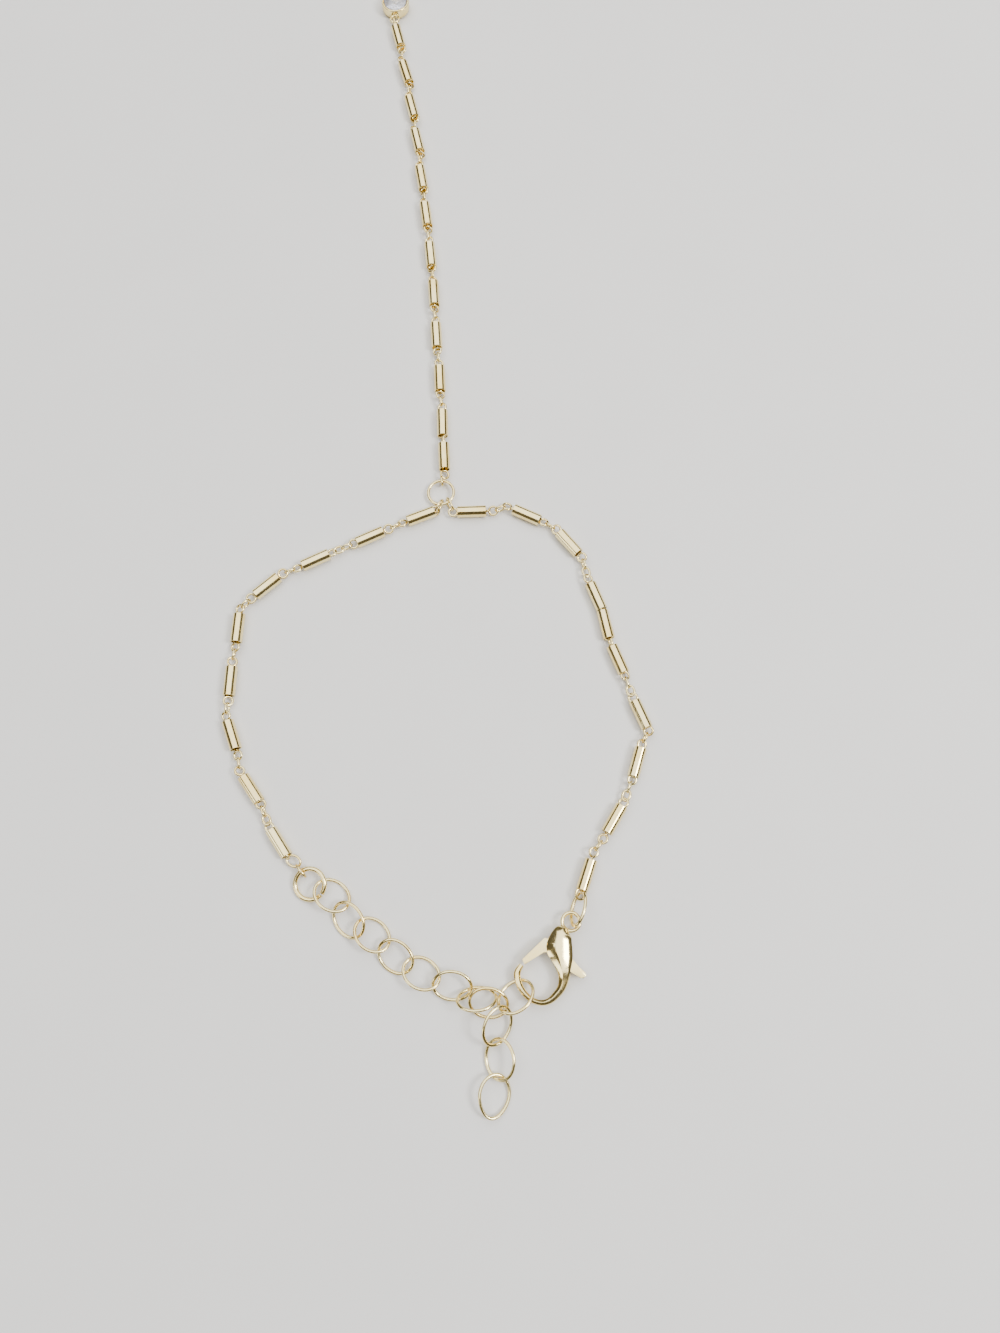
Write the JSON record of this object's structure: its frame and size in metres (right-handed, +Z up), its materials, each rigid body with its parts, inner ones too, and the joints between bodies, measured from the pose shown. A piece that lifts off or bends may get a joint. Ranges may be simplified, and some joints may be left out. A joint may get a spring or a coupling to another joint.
{
  "type": "hand chain",
  "caption": "Hand chain: a wrist loop of short tubes with an extender and lobster clasp, a straight strand over the hand, a round crystal in a cup and a finger ring.",
  "frame": {"origin": "the middle of the bounding box in plan, on the surface that the hand chain lies on", "axes": "+Y from the wrist loop and its clasp towards the finger ring, +X across the wrist loop towards the clasp's side, +Z up"},
  "size_m": [0.057, 0.1898, 0.0033],
  "materials": {
    "gold_metal": "polished gold-coloured plate",
    "clear_crystal": "cut and polished"
  },
  "bodies": {
    "chain": {"hand_strand": "gold_metal", "wrist_chain_right": "gold_metal", "wrist_chain_left": "gold_metal", "junction_ring": "gold_metal", "end_jump_ring": "gold_metal", "extender_link_1": "gold_metal", "extender_link_2": "gold_metal", "extender_link_3": "gold_metal", "extender_link_4": "gold_metal", "extender_link_5": "gold_metal", "extender_link_6": "gold_metal", "extender_link_7": "gold_metal", "extender_link_8": "gold_metal", "extender_link_9": "gold_metal", "tail_link_1": "gold_metal", "tail_link_2": "gold_metal", "tail_link_3": "gold_metal", "clasp_link": "gold_metal", "finger_ring": "gold_metal", "finger_tie_ring": "gold_metal", "clasp_body": "gold_metal", "crystal_cup": "gold_metal", "crystal": "clear_crystal"},
    "clasp_lever": {"clasp_lever": "gold_metal"}
  },
  "joints": [
    {"name": "clasp_lever_hinge", "type": "hinge", "parent": "chain", "child": "clasp_lever", "pos_m": [0.01531, -0.07483, 0.0011], "axis": [0, 0, 1], "range_deg": [0, 28], "stiffness_Nm_per_rad": 0.002, "springref_deg": -5.73}
  ]
}
